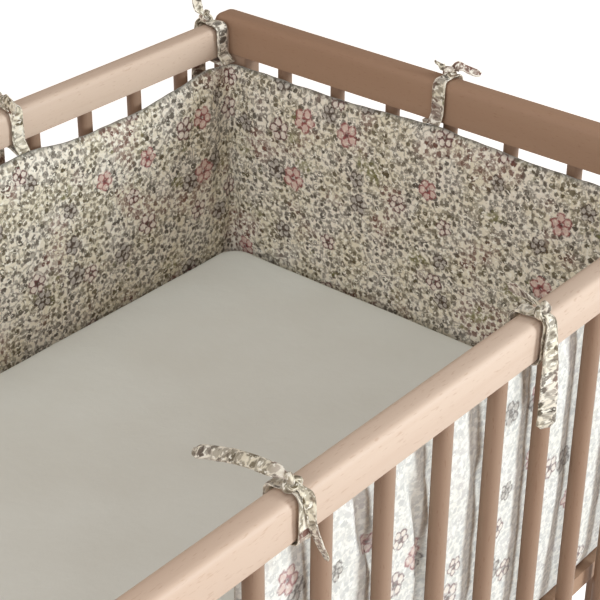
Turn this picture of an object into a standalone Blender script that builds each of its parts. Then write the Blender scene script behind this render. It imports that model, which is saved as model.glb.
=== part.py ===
"""A padded crib bumper tied to the rails of a wooden crib, with the crib and its mattress.

The floor is Z = 0 and the origin is the middle of the crib's footprint. The head end is at +X.
Metres throughout.
"""
import math
from collections import namedtuple

import bmesh
import bpy
from mathutils import Matrix, Vector

# ---------------------------------------------------------------- driving dimensions
GAP = 0.0003                 # between pieces that touch
NEAR = 0.00001               # closer than this is the same place
CLEAR = 0.002                # between cloth and the wood it goes round

SIDE_BARS = 16               # round bars in each long side
SIDE_PITCH = 0.0736
SIDE_MARGIN = 0.0674         # end panel's inner face to the first bar
INNER_LENGTH = 2 * SIDE_MARGIN + (SIDE_BARS - 1) * SIDE_PITCH
INNER_WIDTH = 0.600
BAR_RADIUS = 0.008
BAR_FACETS = 16

RAIL_TOP = 0.860             # top of the side rails above the floor
SIDE_RAIL_THICK = 0.025
SIDE_RAIL_TALL = 0.036
SIDE_RAIL_ROUND = 0.008
LOWER_RAIL_TOP = 0.236

END_THICK = 0.026
END_RAIL_RISE = 0.009        # the end rails stand this much above the side rails
END_RAIL_TALL = 0.044
END_RAIL_CORNER = 0.014
END_RAIL_ROUND = 0.007       # its long top edges
END_BARS = 7
END_PITCH = 0.0757
POST_WIDE = 0.049
EDGE_ROUND = 0.003

BASE_TOP = 0.4877
BASE_THICK = 0.020
BASE_SLOTS = 12
BASE_SLOT = (0.050, 0.460)
MATTRESS_THICK = 0.110
MATTRESS_LENGTH = 1.200
MATTRESS_FROM_HEAD = 0.0215  # pushed up to the bumper, so the spare room is at the foot
MATTRESS_WIDTH = 0.560
MATTRESS_CORNER = 0.030
MATTRESS_EDGE = 0.016
MATTRESS_UNDER_EDGE = 0.010

BUMPER_LEG = 0.650           # how far each leg reaches from the head end
BUMPER_INSET = 0.010         # middle of the strip to the rails' inner faces
BUMPER_TURN = 0.012          # radius of the strip's middle at the corners
BUMPER_FOOT = 0.370          # bottom seam below the top of the side rails
BUMPER_STEP = 0.028          # spacing of the sections along the legs and the head end
CORNER_STEPS = 4
BUMPER_END_TAPER = 0.022     # the leg's ends thin out over this length
SEAM_HALF = 0.0008           # half the thickness where it is thinnest

TIE_CLOTH = 0.0016
TIE_WIDTH = 0.016
TAPE_BEND = 0.006            # radius of its bends round a rail
STITCH_LAP = 0.0006
STRAP_BEND_UP = 0.010        # above the seam the strap comes up against the rail
KNOT_SIZE = (0.015, 0.013, 0.009)
KNOT_UP = 0.0065

OUTER_WIDTH = INNER_WIDTH + 2 * SIDE_RAIL_THICK
HEAD_FACE = INNER_LENGTH / 2
END_RAIL_TOP = RAIL_TOP + END_RAIL_RISE
SIDE_LINE = (INNER_WIDTH + SIDE_RAIL_THICK) / 2
END_LINE = HEAD_FACE + END_THICK / 2

# The bumper's top seam: distance along the strip from the middle of the head end, and how far
# the seam is below the top of the side rails. It rises at each tie and sags between ties.
SeamRow = namedtuple("SeamRow", "along drop")
TOP_SEAM = (
    SeamRow(0.0000, 0.0350),
    SeamRow(0.0600, 0.0385),
    SeamRow(0.1500, 0.0415),
    SeamRow(0.2300, 0.0405),
    SeamRow(0.2700, 0.0412),
    SeamRow(0.3010, 0.0410),
    SeamRow(0.3225, 0.0385),
    SeamRow(0.3605, 0.0445),
    SeamRow(0.4525, 0.0525),
    SeamRow(0.5225, 0.0520),
    SeamRow(0.5945, 0.0435),
    SeamRow(0.6725, 0.0500),
    SeamRow(0.7575, 0.0535),
    SeamRow(0.8325, 0.0510),
    SeamRow(0.8945, 0.0445),
    SeamRow(0.9275, 0.0470),
)

# Half the strip's thickness from the bottom seam (0) to the top seam (1): thin at both seams,
# squeezed beside the mattress and full above it.
CrownRow = namedtuple("CrownRow", "height half")
CROWN = (
    CrownRow(0.000, 0.0010),
    CrownRow(0.030, 0.0040),
    CrownRow(0.100, 0.0062),
    CrownRow(0.260, 0.0068),
    CrownRow(0.400, 0.0085),
    CrownRow(0.580, 0.0100),
    CrownRow(0.780, 0.0096),
    CrownRow(0.900, 0.0074),
    CrownRow(0.965, 0.0042),
    CrownRow(1.000, 0.0010),
)

# Folds that run up the strip, where the filling is pulled in or bunched against the bars:
# distance along the strip (signed: + is the far side), how much of the thickness is left, and
# how far the fold reaches each way.
FoldRow = namedtuple("FoldRow", "along left reach")
FOLDS = (
    FoldRow(-0.8945, 0.70, 0.014),
    FoldRow(-0.7025, 0.72, 0.016),
    FoldRow(-0.5945, 0.74, 0.014),
    FoldRow(-0.4425, 0.80, 0.016),
    FoldRow(-0.2875, 0.36, 0.024),
    FoldRow(-0.2300, 0.76, 0.014),
    FoldRow(0.0000, 0.78, 0.014),
    FoldRow(0.2320, 0.72, 0.012),
    FoldRow(0.2875, 0.36, 0.024),
    FoldRow(0.4085, 0.82, 0.016),
    FoldRow(0.5945, 0.74, 0.014),
    FoldRow(0.7545, 0.80, 0.016),
    FoldRow(0.8945, 0.70, 0.014),
)

# A tie's free ends, in its own frame: along its rail, out from the middle of the rail, up from
# the rail's top. twist turns the tape's width about its run, 0 being along the rail.
TapeRow = namedtuple("TapeRow", "along out up twist width")
HANGING_OUT = (
    TapeRow(0.000, 0.008, 0.008, 0, 0.013),
    TapeRow(0.000, 0.018, 0.000, 0, 0.014),
    TapeRow(0.001, 0.021, -0.030, 14, 0.017),
    TapeRow(0.000, 0.022, -0.068, 24, 0.018),
    TapeRow(-0.002, 0.021, -0.100, 30, 0.018),
)
CROSSING_IN = (
    TapeRow(0.000, 0.010, 0.010, 0, 0.010),
    TapeRow(-0.004, -0.004, 0.012, 50, 0.011),
    TapeRow(-0.009, -0.018, 0.012, 75, 0.011),
    TapeRow(-0.013, -0.031, 0.009, 80, 0.011),
)
REACHING_IN = (
    TapeRow(0.000, 0.004, 0.010, 0, 0.012),
    TapeRow(0.002, -0.012, 0.012, 20, 0.011),
    TapeRow(0.001, -0.036, 0.006, 30, 0.010),
    TapeRow(-0.002, -0.060, -0.004, 20, 0.011),
    TapeRow(0.002, -0.090, -0.013, 35, 0.010),
)
SHORT_OUT = (
    TapeRow(0.000, 0.006, 0.008, 0, 0.012),
    TapeRow(0.000, 0.018, 0.001, 0, 0.012),
    TapeRow(-0.002, 0.020, -0.020, 40, 0.012),
    TapeRow(-0.010, 0.021, -0.043, 70, 0.012),
    TapeRow(-0.019, 0.020, -0.064, 75, 0.012),
)
STANDING_UP = (
    TapeRow(0.000, 0.008, 0.008, 0, 0.011),
    TapeRow(-0.006, 0.014, 0.018, 20, 0.011),
    TapeRow(-0.008, 0.015, 0.034, 55, 0.011),
    TapeRow(-0.005, 0.017, 0.052, 65, 0.010),
)
TOP_LEFT = (
    TapeRow(0.000, 0.000, 0.008, 0, 0.012),
    TapeRow(-0.008, -0.002, 0.013, 25, 0.012),
    TapeRow(-0.017, 0.002, 0.014, 40, 0.011),
)
TOP_RIGHT = (
    TapeRow(0.000, 0.000, 0.008, 0, 0.012),
    TapeRow(0.009, 0.004, 0.015, 30, 0.012),
    TapeRow(0.019, 0.009, 0.012, 60, 0.010),
    TapeRow(0.030, 0.014, 0.008, 70, 0.009),
)

# Each tie: where it is along its rail (from the head end's inner face on the sides, across the
# crib on the head end), how far out the knot sits, the tape's width and its two free ends.
TieRow = namedtuple("TieRow", "name rail place knot_out width tails")
TIES = (
    TieRow("tie_far_end", "far", 0.620, 0.004, TIE_WIDTH, (REACHING_IN, SHORT_OUT)),
    TieRow("tie_far_middle", "far", 0.320, 0.010, TIE_WIDTH, (HANGING_OUT, CROSSING_IN)),
    TieRow("tie_far_corner", "far", 0.0145, 0.008, 0.019, (STANDING_UP, HANGING_OUT)),
    TieRow("tie_head", "head", 0.006, 0.000, TIE_WIDTH, (TOP_LEFT, TOP_RIGHT)),
    TieRow("tie_near_corner", "near", 0.0145, 0.008, 0.019, (STANDING_UP, HANGING_OUT)),
    TieRow("tie_near_middle", "near", 0.320, 0.010, TIE_WIDTH, (HANGING_OUT, CROSSING_IN)),
    TieRow("tie_near_end", "near", 0.620, 0.004, TIE_WIDTH, (REACHING_IN, SHORT_OUT)),
)
HEAD_TIE_SHIFT = 0.014       # the head tie passes the middle bar on this side, under the rail


# ---------------------------------------------------------------- materials
def make_material(name, colour, roughness):
    material = bpy.data.materials.new(name)
    material.use_nodes = True
    shader = material.node_tree.nodes["Principled BSDF"]
    shader.inputs["Base Color"].default_value = (*colour, 1.0)
    shader.inputs["Roughness"].default_value = roughness
    shader.inputs["Metallic"].default_value = 0.0
    return material


def beech(name):
    return make_material(name + "_beech", (0.60, 0.42, 0.29), 0.5)


def printed_cotton(name):
    return make_material(name + "_cotton", (0.62, 0.57, 0.48), 0.9)


def sheet_cotton(name):
    return make_material(name + "_sheet", (0.68, 0.65, 0.56), 0.95)


# ---------------------------------------------------------------- shared tools
def finish_object(name, mesh, material, collection, smooth=True):
    """Links a mesh as the object called name, with its material."""
    mesh.materials.append(material)
    if smooth:
        mesh.shade_smooth()
        mesh.set_sharp_from_angle(angle=math.radians(35))
    item = bpy.data.objects.new(name, mesh)
    collection.objects.link(item)
    return item


def mesh_from(bm, name):
    bmesh.ops.recalc_face_normals(bm, faces=bm.faces)
    mesh = bpy.data.meshes.new(name)
    bm.to_mesh(mesh)
    bm.free()
    return mesh


def new_box(size):
    bm = bmesh.new()
    bmesh.ops.create_cube(bm, size=1.0)
    bmesh.ops.scale(bm, vec=Vector(size), verts=bm.verts)
    return bm


def same(edge, axis):
    """Whether an edge's two ends have the same place on an axis."""
    first, second = edge.verts
    return abs(getattr(first.co, axis) - getattr(second.co, axis)) < NEAR


def round_edges(bm, radius, segments, wanted):
    """Rounds the edges whose two ends both pass the test wanted."""
    edges = [edge for edge in bm.edges if all(wanted(v.co) for v in edge.verts)]
    bmesh.ops.bevel(bm, geom=edges, offset=radius, segments=segments, profile=0.5, affect="EDGES")


def blend(rows, at, column):
    """Reads one column of a table at a place between its rows, with level tangents."""
    for low, high in zip(rows, rows[1:]):
        if at <= high[0]:
            share = max(0.0, (at - low[0]) / (high[0] - low[0]))
            share = share * share * (3 - 2 * share)
            return getattr(low, column) * (1 - share) + getattr(high, column) * share
    return getattr(rows[-1], column)


def smooth_path(points, steps):
    """A Catmull-Rom run through points, given as equal-length tuples."""
    count = len(points)
    path = []
    for i in range(count - 1):
        before = points[max(i - 1, 0)]
        after = points[min(i + 2, count - 1)]
        for step in range(steps):
            t = step / steps
            path.append([
                0.5 * (2 * b + (c - a) * t + (2 * a - 5 * b + 4 * c - d) * t * t
                       + (3 * b - a - 3 * c + d) * t * t * t)
                for a, b, c, d in zip(before, points[i], points[i + 1], after)
            ])
    path.append(list(points[-1]))
    return path


# ---------------------------------------------------------------- the crib
def side_rail(name, side, top, rounding, collection):
    """A long rail between the two ends, with softly rounded top edges."""
    length = INNER_LENGTH - 2 * GAP
    bm = new_box((length, SIDE_RAIL_THICK, SIDE_RAIL_TALL))
    half = SIDE_RAIL_TALL / 2
    round_edges(bm, rounding, 4, lambda co: co.z > half - NEAR)
    low_edges = [
        edge for edge in bm.edges
        if all(v.co.z < NEAR - half for v in edge.verts) and same(edge, "y")
    ]
    bmesh.ops.bevel(bm, geom=low_edges, offset=EDGE_ROUND, segments=2, profile=0.5, affect="EDGES")
    item = finish_object(name, mesh_from(bm, name), beech(name), collection)
    item.location = (0, side * SIDE_LINE, top - half)
    return item


def side_bars(side_name, side, collection):
    low = LOWER_RAIL_TOP + GAP
    high = RAIL_TOP - SIDE_RAIL_TALL - GAP
    mesh = bar_mesh(side_name + "_bar", high - low)
    mesh.materials.append(beech(side_name + "_bar"))
    for i in range(SIDE_BARS):
        item = bpy.data.objects.new(f"{side_name}_bar_{i + 1:02d}", mesh)
        item.location = (HEAD_FACE - SIDE_MARGIN - i * SIDE_PITCH, side * SIDE_LINE, (low + high) / 2)
        collection.objects.link(item)


def bar_mesh(name, length):
    bm = bmesh.new()
    bmesh.ops.create_cone(
        bm, cap_ends=True, segments=BAR_FACETS, radius1=BAR_RADIUS, radius2=BAR_RADIUS, depth=length
    )
    mesh = mesh_from(bm, name)
    mesh.shade_smooth()
    mesh.set_sharp_from_angle(angle=math.radians(35))
    return mesh


def end_rail(name, end, collection):
    """The top rail of an end, right across the crib, with rounded upper corners."""
    bm = new_box((END_THICK, OUTER_WIDTH, END_RAIL_TALL))
    high = END_RAIL_TALL / 2
    corners = [
        edge for edge in bm.edges
        if all(v.co.z > high - NEAR for v in edge.verts) and same(edge, "y")
    ]
    bmesh.ops.bevel(bm, geom=corners, offset=END_RAIL_CORNER, segments=5, profile=0.5, affect="EDGES")
    outline = [
        edge for edge in bm.edges
        if same(edge, "x") and any(v.co.z > NEAR - high for v in edge.verts)
    ]
    bmesh.ops.bevel(bm, geom=outline, offset=END_RAIL_ROUND, segments=4, profile=0.5, affect="EDGES")
    item = finish_object(name, mesh_from(bm, name), beech(name), collection)
    item.location = (end * END_LINE, 0, END_RAIL_TOP - high)
    return item


def post(name, end, side, collection):
    top = END_RAIL_TOP - END_RAIL_TALL - GAP
    bm = new_box((END_THICK, POST_WIDE, top))
    upright = [edge for edge in bm.edges if not same(edge, "z")]
    bmesh.ops.bevel(bm, geom=upright, offset=EDGE_ROUND, segments=2, profile=0.5, affect="EDGES")
    item = finish_object(name, mesh_from(bm, name), beech(name), collection)
    item.location = (end * END_LINE, side * (OUTER_WIDTH - POST_WIDE) / 2, top / 2)
    return item


def end_grille(name, end, collection, cutters):
    """The lower rail of an end and its round bars, glued up as one piece."""
    across = OUTER_WIDTH - 2 * POST_WIDE - 2 * GAP
    bm = new_box((END_THICK, across, SIDE_RAIL_TALL))
    long_edges = [edge for edge in bm.edges if not same(edge, "y")]
    bmesh.ops.bevel(bm, geom=long_edges, offset=EDGE_ROUND, segments=2, profile=0.5, affect="EDGES")
    item = finish_object(name, mesh_from(bm, name), beech(name), collection)
    rail_middle = LOWER_RAIL_TOP - SIDE_RAIL_TALL / 2
    item.location = (end * END_LINE, 0, rail_middle)

    high = END_RAIL_TOP - END_RAIL_TALL - GAP
    mesh = bar_mesh(name + "_bars", high - rail_middle)
    for i in range(END_BARS):
        bar = bpy.data.objects.new(f"{name}_bar_{i + 1}", mesh)
        bar.location = (end * END_LINE, (i - (END_BARS - 1) / 2) * END_PITCH, (high + rail_middle) / 2)
        bar.hide_render = True
        bar.display_type = "WIRE"
        cutters.objects.link(bar)
        join = item.modifiers.new(f"bar {i + 1}", "BOOLEAN")
        join.operation = "UNION"
        join.object = bar
    return item


def mattress_base(collection, cutters):
    """A board with a row of slots, under the mattress."""
    name = "mattress_base"
    length = INNER_LENGTH - 2 * GAP
    bm = new_box((length, INNER_WIDTH - 2 * GAP, BASE_THICK))
    item = finish_object(name, mesh_from(bm, name), beech(name), collection)
    item.location = (0, 0, BASE_TOP - BASE_THICK / 2)
    pitch = length / BASE_SLOTS
    for i in range(BASE_SLOTS):
        slot_mesh = mesh_from(new_box((*BASE_SLOT, 3 * BASE_THICK)), "slot")
        slot = bpy.data.objects.new(f"base_slot_{i + 1:02d}", slot_mesh)
        slot.location = ((i - (BASE_SLOTS - 1) / 2) * pitch, 0, item.location.z)
        slot.hide_render = True
        slot.display_type = "WIRE"
        cutters.objects.link(slot)
        cut = item.modifiers.new(f"slot {i + 1}", "BOOLEAN")
        cut.operation = "DIFFERENCE"
        cut.object = slot
    return item


def mattress(collection):
    name = "mattress"
    bm = new_box((MATTRESS_LENGTH, MATTRESS_WIDTH, MATTRESS_THICK))
    upright = [edge for edge in bm.edges if not same(edge, "z")]
    bmesh.ops.bevel(bm, geom=upright, offset=MATTRESS_CORNER, segments=5, profile=0.5, affect="EDGES")
    half = MATTRESS_THICK / 2
    round_edges(bm, MATTRESS_EDGE, 4, lambda co: co.z > half - NEAR)
    round_edges(bm, MATTRESS_UNDER_EDGE, 3, lambda co: co.z < NEAR - half)
    item = finish_object(name, mesh_from(bm, name), sheet_cotton(name), collection)
    middle = HEAD_FACE - MATTRESS_FROM_HEAD - MATTRESS_LENGTH / 2
    item.location = (middle, 0, BASE_TOP + GAP + MATTRESS_THICK / 2)
    return item


# ---------------------------------------------------------------- the bumper
def strip_middle(along):
    """Place and outward direction of the strip's middle; along is 0 at the middle of the head."""
    side = 1 if along >= 0 else -1
    run = abs(along)
    straight = INNER_WIDTH / 2 - BUMPER_INSET - BUMPER_TURN
    arc = BUMPER_TURN * math.pi / 2
    head_line = HEAD_FACE - BUMPER_INSET
    if run <= straight:
        return Vector((head_line, side * run)), Vector((1, 0))
    if run <= straight + arc:
        angle = (run - straight) / BUMPER_TURN
        out = Vector((math.cos(angle), side * math.sin(angle)))
        centre = Vector((head_line - BUMPER_TURN, side * straight))
        return centre + BUMPER_TURN * out, out
    leg = run - straight - arc
    return Vector((head_line - BUMPER_TURN - leg, side * (straight + BUMPER_TURN))), Vector((0, side))


def strip_beside(place):
    """Distance along the strip to where it is this far from the head end's inner face."""
    straight = INNER_WIDTH / 2 - BUMPER_INSET - BUMPER_TURN
    past_turn = place - BUMPER_INSET - BUMPER_TURN
    if past_turn >= 0:
        return straight + BUMPER_TURN * math.pi / 2 + past_turn
    return straight + BUMPER_TURN * math.acos(-past_turn / BUMPER_TURN)


def bumper_stations():
    """Distances along the strip for its sections, closer together round the corners."""
    straight = INNER_WIDTH / 2 - BUMPER_INSET - BUMPER_TURN
    arc = BUMPER_TURN * math.pi / 2
    leg = BUMPER_LEG - BUMPER_INSET - BUMPER_TURN
    half = []
    head_count = round(straight / BUMPER_STEP)
    half += [straight * i / head_count for i in range(head_count)]
    half += [straight + arc * i / CORNER_STEPS for i in range(CORNER_STEPS)]
    leg_count = round(leg / BUMPER_STEP)
    half += [straight + arc + leg * i / leg_count for i in range(leg_count + 1)]
    even = [-s for s in reversed(half[1:])] + half
    clear_of_folds = [
        s for s in even
        if abs(s) == half[-1] or all(abs(s - fold.along) > fold.reach + BUMPER_STEP / 4 for fold in FOLDS)
    ]
    folded = [fold.along + share * fold.reach for fold in FOLDS for share in (-1, -0.4, 0.4, 1)]
    return sorted(clear_of_folds + folded)


def fold_fullness(along):
    """What the folds leave of the strip's thickness at a place along it."""
    left = 1.0
    for fold in FOLDS:
        away = abs(along - fold.along) / fold.reach
        if away < 1:
            left = min(left, fold.left + (1 - fold.left) * away * away)
    return left


def bumper_section(along, fullness):
    """One closed section: up the outer face and down the inner face."""
    middle, out = strip_middle(along)
    top = RAIL_TOP - blend(TOP_SEAM, abs(along), "drop")
    bottom = RAIL_TOP - BUMPER_FOOT
    ring = []
    for sign, rows in ((1, CROWN), (-1, tuple(reversed(CROWN)))):
        for row in rows:
            half = max(SEAM_HALF, row.half * fullness)
            place = middle + sign * half * out
            ring.append(Vector((place.x, place.y, bottom + (top - bottom) * row.height)))
    return ring


def bumper(collection):
    """The padded strip: one filled piece, thin at its seams, bent round the head end."""
    name = "bumper"
    bm = bmesh.new()
    stations = bumper_stations()
    least = 0.12
    rings = []
    for along in stations:
        from_end = min(1.0, (stations[-1] - abs(along)) / BUMPER_END_TAPER)
        fullness = fold_fullness(along) * (least + (1 - least) * math.sqrt(from_end))
        rings.append([bm.verts.new(co) for co in bumper_section(along, fullness)])
    for ring, following in zip(rings, rings[1:]):
        for i in range(len(ring)):
            j = (i + 1) % len(ring)
            bm.faces.new((ring[i], following[i], following[j], ring[j]))
    for ring in (rings[0], rings[-1]):
        for i in range(len(CROWN) - 1):
            bm.faces.new((ring[i], ring[i + 1], ring[-2 - i], ring[-1 - i]))
    return finish_object(name, mesh_from(bm, name), printed_cotton(name), collection)


# ---------------------------------------------------------------- the ties
def tape_strip(bm, rows, closed):
    """An open strip of quads along rows of (centre, width direction, width)."""
    pairs = []
    for centre, across, width in rows:
        half = across * width / 2
        pairs.append((bm.verts.new(centre - half), bm.verts.new(centre + half)))
    ends = zip(pairs, pairs[1:] + pairs[:1]) if closed else zip(pairs, pairs[1:])
    for (a, b), (c, d) in ends:
        bm.faces.new((a, b, d, c))


def loop_rows(thick, tall, width, seam_out, seam_up, shift):
    """The tape round the rail: round three corners and down to the bumper's top seam."""
    reach = CLEAR + TIE_CLOTH / 2
    out = thick / 2 + reach
    up = reach
    down = -tall - reach
    round_off = TAPE_BEND
    corners = ((-1, 1, 180, -out, up), (1, 1, 90, out, up), (1, -1, 0, out, down))
    rows = [
        (0.0, seam_out - STITCH_LAP, seam_up),
        (0.0, -out - STITCH_LAP, seam_up + STRAP_BEND_UP),
    ]
    for side_out, side_up, start, corner_out, corner_up in corners:
        for step in range(5):
            angle = math.radians(start - step * 22.5)
            rows.append((
                shift if side_up < 0 else 0.0,
                corner_out - side_out * round_off + round_off * math.cos(angle),
                corner_up - side_up * round_off + round_off * math.sin(angle),
            ))
    rows.append((shift, -out + TAPE_BEND, down))
    across = Vector((1, 0, 0))
    return [(Vector(row), across, width) for row in rows]


def tail_rows(tail, steps=4):
    """A free end's centre line, with its width turned about the run."""
    path = smooth_path(tail, steps)
    rows = []
    for i, row in enumerate(path):
        here = Vector(row[:3])
        ahead = Vector(path[min(i + 1, len(path) - 1)][:3])
        behind = Vector(path[max(i - 1, 0)][:3])
        run = (ahead - behind).normalized()
        across = Vector((1, 0, 0))
        across = across - across.dot(run) * run
        if across.length < 0.35:
            across = Vector((0, 1, 0)) - Vector((0, 1, 0)).dot(run) * run
        across.normalize()
        across = Matrix.Rotation(math.radians(row[3]), 3, run) @ across
        rows.append((here, across, row[4]))
    return rows


def thick_piece(name, build, collection):
    """A cutter or base object: an open strip given the cloth's thickness."""
    bm = bmesh.new()
    build(bm)
    mesh = mesh_from(bm, name)
    item = bpy.data.objects.new(name, mesh)
    collection.objects.link(item)
    shell = item.modifiers.new("cloth", "SOLIDIFY")
    shell.thickness = TIE_CLOTH
    shell.offset = 0.0
    shell.use_even_offset = True
    return item


def tie(row, collection, cutters):
    """One tie: the tape round its rail, its knot and its two free ends, joined into one piece."""
    if row.rail == "head":
        thick, tall, shift = END_THICK, END_RAIL_TALL, -HEAD_TIE_SHIFT
        place = (END_LINE, row.place, END_RAIL_TOP)
        turn = -math.pi / 2
        line, top = END_LINE, END_RAIL_TOP
        station = row.place
    else:
        side = 1 if row.rail == "far" else -1
        thick, tall, shift = SIDE_RAIL_THICK, SIDE_RAIL_TALL, 0.0
        place = (HEAD_FACE - row.place, side * SIDE_LINE, RAIL_TOP)
        turn = 0.0 if side > 0 else math.pi
        line, top = SIDE_LINE, RAIL_TOP
        station = strip_beside(row.place)
    sewn_at = strip_middle(station)[0]
    seam_out = (sewn_at.x if row.rail == "head" else sewn_at.y) - line
    seam_up = RAIL_TOP - blend(TOP_SEAM, abs(station), "drop") - top + TIE_CLOTH / 2 + 2 * GAP

    loop = loop_rows(thick, tall, row.width, seam_out, seam_up, shift)
    item = thick_piece(row.name, lambda bm: tape_strip(bm, loop, True), collection)
    item.data.materials.append(printed_cotton(row.name))
    item.location = place
    item.rotation_euler = (0, 0, turn)

    knot_bm = bmesh.new()
    bmesh.ops.create_uvsphere(knot_bm, u_segments=12, v_segments=8, radius=0.5)
    bmesh.ops.scale(knot_bm, vec=Vector(KNOT_SIZE), verts=knot_bm.verts)
    bmesh.ops.translate(knot_bm, vec=Vector((0, row.knot_out, KNOT_UP)), verts=knot_bm.verts)
    knot = bpy.data.objects.new(row.name + "_knot", mesh_from(knot_bm, row.name + "_knot"))
    cutters.objects.link(knot)
    parts = [knot]
    for i, tail in enumerate(row.tails):
        rows = tail_rows(tail)
        tail_name = f"{row.name}_tail_{i + 1}"
        parts.append(thick_piece(tail_name, lambda bm, r=rows: tape_strip(bm, r, False), cutters))
    for part in parts:
        part.parent = item
        part.hide_render = True
        part.display_type = "WIRE"
        join = item.modifiers.new(part.name, "BOOLEAN")
        join.operation = "UNION"
        join.object = part
    return item


# ---------------------------------------------------------------- the whole
def build():
    for item in list(bpy.data.objects):
        bpy.data.objects.remove(item, do_unlink=True)
    collection = bpy.data.collections.new("crib_bumper_on_crib")
    cutters = bpy.data.collections.new("cutters")
    bpy.context.scene.collection.children.link(collection)
    bpy.context.scene.collection.children.link(cutters)

    for side_name, side in (("far", 1), ("near", -1)):
        side_rail(f"{side_name}_top_rail", side, RAIL_TOP, SIDE_RAIL_ROUND, collection)
        side_rail(f"{side_name}_lower_rail", side, LOWER_RAIL_TOP, EDGE_ROUND, collection)
        side_bars(side_name, side, collection)
    for end_name, end in (("head", 1), ("foot", -1)):
        end_rail(f"{end_name}_top_rail", end, collection)
        end_grille(f"{end_name}_grille", end, collection, cutters)
        for side_name, side in (("far", 1), ("near", -1)):
            post(f"{end_name}_{side_name}_post", end, side, collection)
    mattress_base(collection, cutters)
    mattress(collection)
    bumper(collection)
    for row in TIES:
        tie(row, collection, cutters)


build()
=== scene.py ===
"""Looks for the crib bumper, its ties, the mattress and the beech crib that they are fitted to.

Metres, +Z up, the head end at +X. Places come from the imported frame.
"""

import math
import random
from collections import namedtuple

import bmesh
import bpy
import numpy as np
from mathutils import Matrix, Vector


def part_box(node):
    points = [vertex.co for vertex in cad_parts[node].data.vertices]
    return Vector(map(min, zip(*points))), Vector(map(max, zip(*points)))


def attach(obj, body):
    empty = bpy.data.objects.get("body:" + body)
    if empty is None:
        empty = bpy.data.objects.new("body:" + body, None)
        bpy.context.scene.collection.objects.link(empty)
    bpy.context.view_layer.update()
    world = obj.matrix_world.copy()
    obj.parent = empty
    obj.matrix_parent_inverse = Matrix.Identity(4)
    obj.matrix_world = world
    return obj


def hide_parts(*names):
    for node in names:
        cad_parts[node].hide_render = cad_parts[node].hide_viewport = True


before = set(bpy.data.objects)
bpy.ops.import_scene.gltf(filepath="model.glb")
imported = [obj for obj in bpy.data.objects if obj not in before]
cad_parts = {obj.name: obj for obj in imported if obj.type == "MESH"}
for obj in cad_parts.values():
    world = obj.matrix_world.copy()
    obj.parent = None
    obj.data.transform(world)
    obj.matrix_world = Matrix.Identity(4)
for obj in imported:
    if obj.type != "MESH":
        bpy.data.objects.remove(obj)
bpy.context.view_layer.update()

# ---------------------------------------------------------------- places read from the frame
RAIL_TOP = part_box("near_top_rail")[1].z
SIDE_RAIL_TALL = RAIL_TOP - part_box("near_top_rail")[0].z
FAR_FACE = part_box("far_top_rail")[0].y
SIDE_RAIL_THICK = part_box("far_top_rail")[1].y - FAR_FACE
SIDE_LINE = FAR_FACE + SIDE_RAIL_THICK / 2
HEAD_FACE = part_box("head_top_rail")[0].x
END_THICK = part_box("head_top_rail")[1].x - HEAD_FACE
END_LINE = HEAD_FACE + END_THICK / 2
END_RAIL_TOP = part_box("head_top_rail")[1].z
END_RAIL_TALL = END_RAIL_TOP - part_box("head_top_rail")[0].z
BAR_RADIUS = (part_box("near_bar_01")[1].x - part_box("near_bar_01")[0].x) / 2
SIDE_BARS = [f"bar_{i:02d}" for i in range(1, 17)]
BAR_SETBACK = SIDE_LINE - BAR_RADIUS - FAR_FACE
BAR_PLACES = [sum(c.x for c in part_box("near_" + name)) / 2 for name in SIDE_BARS]

# ---------------------------------------------------------------- the bumper's own sizes
BUMPER_INSET = 0.010
BUMPER_TURN = 0.012
BUMPER_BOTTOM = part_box("bumper")[0].z
LEG_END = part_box("bumper")[0].x
HEAD_STRAIGHT = FAR_FACE - BUMPER_INSET - BUMPER_TURN
TURN_ARC = BUMPER_TURN * math.pi / 2
LEG_STRAIGHT = HEAD_FACE - BUMPER_INSET - BUMPER_TURN - LEG_END
STRIP_HALF = HEAD_STRAIGHT + TURN_ARC + LEG_STRAIGHT
TIE_CLOTH = 0.0016
TIE_CLEAR = 0.002
TAPE_BEND = 0.006
STITCH_LAP = 0.0006
STRAP_BEND_UP = 0.010

SeamRow = namedtuple("SeamRow", "along drop")
TOP_SEAM = (
    SeamRow(0.0000, 0.0350),
    SeamRow(0.0600, 0.0385),
    SeamRow(0.1500, 0.0415),
    SeamRow(0.2300, 0.0405),
    SeamRow(0.2700, 0.0412),
    SeamRow(0.3010, 0.0410),
    SeamRow(0.3225, 0.0385),
    SeamRow(0.3605, 0.0445),
    SeamRow(0.4525, 0.0525),
    SeamRow(0.5225, 0.0520),
    SeamRow(0.5945, 0.0435),
    SeamRow(0.6725, 0.0500),
    SeamRow(0.7575, 0.0535),
    SeamRow(0.8325, 0.0510),
    SeamRow(0.8945, 0.0445),
    SeamRow(0.9275, 0.0470),
)

# Half thickness from the bottom seam (0) to the top seam (1), towards the mattress and the bars.
CrownRow = namedtuple("CrownRow", "height inner outer")
CROWN = (
    CrownRow(0.000, 0.0008, 0.0008),
    CrownRow(0.012, 0.0026, 0.0024),
    CrownRow(0.040, 0.0044, 0.0044),
    CrownRow(0.120, 0.0060, 0.0064),
    CrownRow(0.270, 0.0066, 0.0080),
    CrownRow(0.420, 0.0085, 0.0090),
    CrownRow(0.600, 0.0104, 0.0096),
    CrownRow(0.780, 0.0102, 0.0094),
    CrownRow(0.900, 0.0082, 0.0080),
    CrownRow(0.960, 0.0055, 0.0056),
    CrownRow(0.988, 0.0028, 0.0030),
    CrownRow(1.000, 0.0008, 0.0008),
)
CORNER_ALONG = 0.2875          # the strip is pinched where it is folded into the corners
CORNER_REACH = 0.020
CORNER_PINCH = 0.62

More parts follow.
